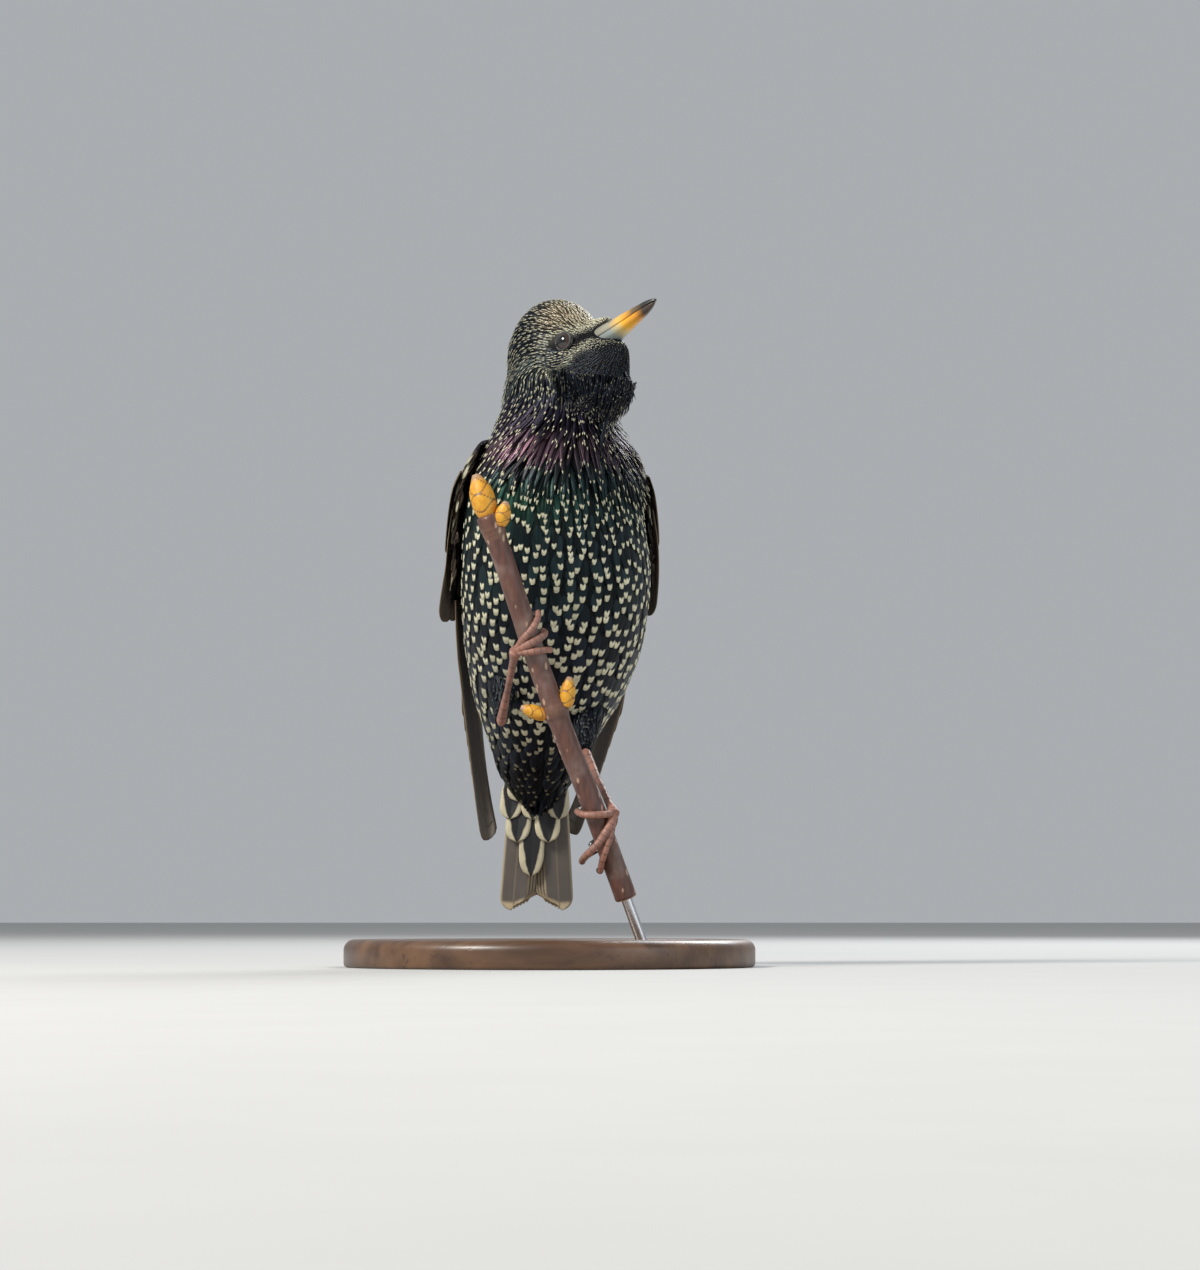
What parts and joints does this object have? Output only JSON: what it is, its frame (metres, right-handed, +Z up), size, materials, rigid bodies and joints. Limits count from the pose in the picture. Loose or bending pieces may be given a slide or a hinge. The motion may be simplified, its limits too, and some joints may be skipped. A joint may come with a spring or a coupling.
{
  "type": "starling on a twig",
  "caption": "Life-size starling perched upright on a short cut twig, its head turned and bill raised, held by a round wooden display base and a slanting steel rod.",
  "frame": {"origin": "centre of the round base's underside, on the floor", "axes": "+Z up; the breast and belly face -Y; the bird's right side is towards -X; the bill points to +X, -Y and a little up"},
  "size_m": [0.12, 0.12, 0.1964],
  "materials": {
    "plumage": "glossy black feathers with green and purple sheen and pale tips",
    "wing_feather": "dark brown vanes with buff edges",
    "tail_feather": "grey-brown vanes with pale edges",
    "bill_horn": "smooth horn, yellow to brown",
    "eye": "wet gloss",
    "leg_skin": "scaled pinkish brown skin",
    "claw_horn": "smooth black horn",
    "bark": "smooth red-brown young bark with pale lenticels",
    "bud": "yellow-brown bud scales",
    "base_wood": "dark turned wood, satin varnish",
    "rod_steel": "bright drawn rod"
  },
  "bodies": {
    "root": {"stand_base": "base_wood", "stand_rod": "rod_steel", "perch_twig": "bark", "bud_terminal": "bud", "bud_terminal_side": "bud", "bud_pair_right": "bud", "bud_pair_left": "bud", "head": "plumage", "bill_upper": "bill_horn", "bill_lower": "bill_horn", "eye_right": "eye", "eye_left": "eye", "neck": "plumage", "torso": "plumage", "wing_right": "wing_feather", "wing_left": "wing_feather", "tail": "tail_feather", "undertail_coverts": "plumage", "thigh_right": "plumage", "tarsus_right": "leg_skin", "foot_right": "leg_skin", "claw_right_inner": "claw_horn", "claw_right_middle": "claw_horn", "claw_right_outer": "claw_horn", "claw_right_hind": "claw_horn", "thigh_left": "plumage", "tarsus_left": "leg_skin", "foot_left": "leg_skin", "claw_left_inner": "claw_horn", "claw_left_middle": "claw_horn", "claw_left_outer": "claw_horn", "claw_left_hind": "claw_horn"}
  },
  "joints": []
}
